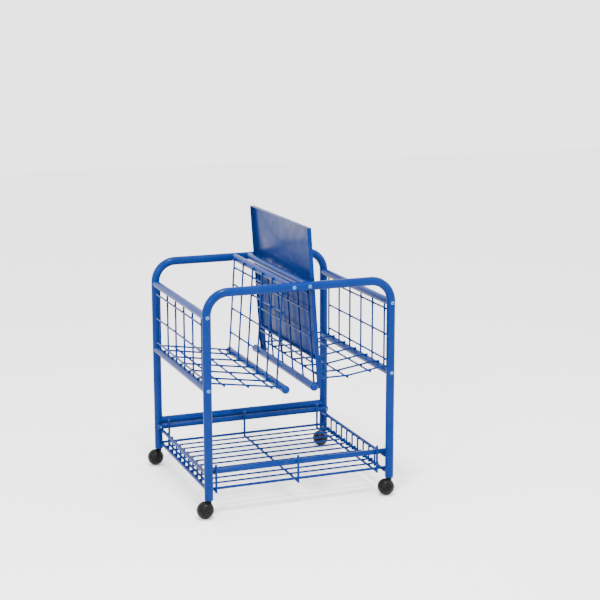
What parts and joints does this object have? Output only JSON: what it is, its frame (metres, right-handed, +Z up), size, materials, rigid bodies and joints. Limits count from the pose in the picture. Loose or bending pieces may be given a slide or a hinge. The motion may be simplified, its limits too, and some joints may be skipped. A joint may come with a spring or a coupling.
{
  "type": "newspaper rack",
  "caption": "Wheeled tube-frame rack with two wire baskets either side of a leaning divider and tall panel, above a wire tray for newspapers and big books.",
  "frame": {"origin": "on the floor, midway between the axes of the four legs", "axes": "+Z up; -Y is the front, where the bolt heads show; +X is the right-hand side, with the tall panel"},
  "size_m": [0.5998, 0.565, 0.7966],
  "materials": {
    "tube_paint": "gloss blue powder coat",
    "wire_paint": "gloss blue powder coat",
    "panel_paint": "satin blue powder coat",
    "painted_fasteners": "gloss blue paint",
    "cap_paint": "gloss blue moulded plastic",
    "plated_steel": "zinc plated",
    "socket_plastic": "moulded, fine texture",
    "caster_hood": "semi-gloss moulded",
    "caster_wheel": "semi-gloss moulded, worn tread"
  },
  "bodies": {
    "rack": {"divider_foot_caps": "cap_paint", "divider_panel": "panel_paint", "front_frame": "tube_paint", "front_left_caster_socket": "socket_plastic", "front_left_caster_stem": "plated_steel", "front_right_caster_socket": "socket_plastic", "front_right_caster_stem": "plated_steel", "left_divider_foot_tube": "tube_paint", "left_divider_stringers": "wire_paint", "left_divider_top_tube": "tube_paint", "left_divider_uprights": "wire_paint", "left_floor_rods": "wire_paint", "left_floor_wires": "wire_paint", "left_lower_rail": "tube_paint", "left_side_stringers": "wire_paint", "left_side_uprights": "wire_paint", "left_upper_rail": "tube_paint", "panel_hem_rod": "wire_paint", "panel_screws": "painted_fasteners", "panel_spacers": "tube_paint", "rail_bolts": "painted_fasteners", "rail_inserts": "plated_steel", "rear_cross_tube": "tube_paint", "rear_frame": "tube_paint", "rear_left_caster_socket": "socket_plastic", "rear_left_caster_stem": "plated_steel", "rear_right_caster_socket": "socket_plastic", "rear_right_caster_stem": "plated_steel", "right_divider_foot_tube": "tube_paint", "right_divider_stringers": "wire_paint", "right_divider_top_tube": "tube_paint", "right_divider_uprights": "wire_paint", "right_floor_rods": "wire_paint", "right_floor_wires": "wire_paint", "right_lower_rail": "tube_paint", "right_side_stringers": "wire_paint", "right_side_uprights": "wire_paint", "right_upper_rail": "tube_paint", "tray_base_rods": "wire_paint", "tray_bearers": "wire_paint", "tray_floor_wires": "wire_paint", "tray_front_rim": "tube_paint", "tray_rear_rim": "tube_paint", "tray_screws": "painted_fasteners", "tray_side_rods": "wire_paint", "tray_uprights": "wire_paint", "tray_wall_wires": "wire_paint"},
    "front_left_swivel": {"front_left_caster_hood": "caster_hood", "front_left_caster_axle": "plated_steel"},
    "front_left_wheel": {"front_left_caster_wheel": "caster_wheel"},
    "front_right_swivel": {"front_right_caster_hood": "caster_hood", "front_right_caster_axle": "plated_steel"},
    "front_right_wheel": {"front_right_caster_wheel": "caster_wheel"},
    "rear_left_swivel": {"rear_left_caster_hood": "caster_hood", "rear_left_caster_axle": "plated_steel"},
    "rear_left_wheel": {"rear_left_caster_wheel": "caster_wheel"},
    "rear_right_swivel": {"rear_right_caster_hood": "caster_hood", "rear_right_caster_axle": "plated_steel"},
    "rear_right_wheel": {"rear_right_caster_wheel": "caster_wheel"}
  },
  "joints": [
    {"name": "front_left_swivel_turn", "type": "hinge", "parent": "rack", "child": "front_left_swivel", "pos_m": [-0.275, -0.2575, 0.04], "axis": [0, 0, 1], "continuous": true},
    {"name": "front_left_wheel_roll", "type": "hinge", "parent": "front_left_swivel", "child": "front_left_wheel", "pos_m": [-0.28769, -0.26342, 0.025], "axis": [-0.2828, 0.6064, -0.7431], "continuous": true},
    {"name": "front_right_swivel_turn", "type": "hinge", "parent": "rack", "child": "front_right_swivel", "pos_m": [0.275, -0.2575, 0.04], "axis": [0, 0, 1], "continuous": true},
    {"name": "front_right_wheel_roll", "type": "hinge", "parent": "front_right_swivel", "child": "front_right_wheel", "pos_m": [0.26231, -0.26342, 0.025], "axis": [0.2828, -0.6064, -0.7431], "continuous": true},
    {"name": "rear_left_swivel_turn", "type": "hinge", "parent": "rack", "child": "rear_left_swivel", "pos_m": [-0.275, 0.2575, 0.04], "axis": [0, 0, 1], "continuous": true},
    {"name": "rear_left_wheel_roll", "type": "hinge", "parent": "rear_left_swivel", "child": "rear_left_wheel", "pos_m": [-0.28769, 0.25158, 0.025], "axis": [-0.2828, 0.6064, -0.7431], "continuous": true},
    {"name": "rear_right_swivel_turn", "type": "hinge", "parent": "rack", "child": "rear_right_swivel", "pos_m": [0.275, 0.2575, 0.04], "axis": [0, 0, 1], "continuous": true},
    {"name": "rear_right_wheel_roll", "type": "hinge", "parent": "rear_right_swivel", "child": "rear_right_wheel", "pos_m": [0.26231, 0.25158, 0.025], "axis": [0.2828, -0.6064, -0.7431], "continuous": true}
  ]
}
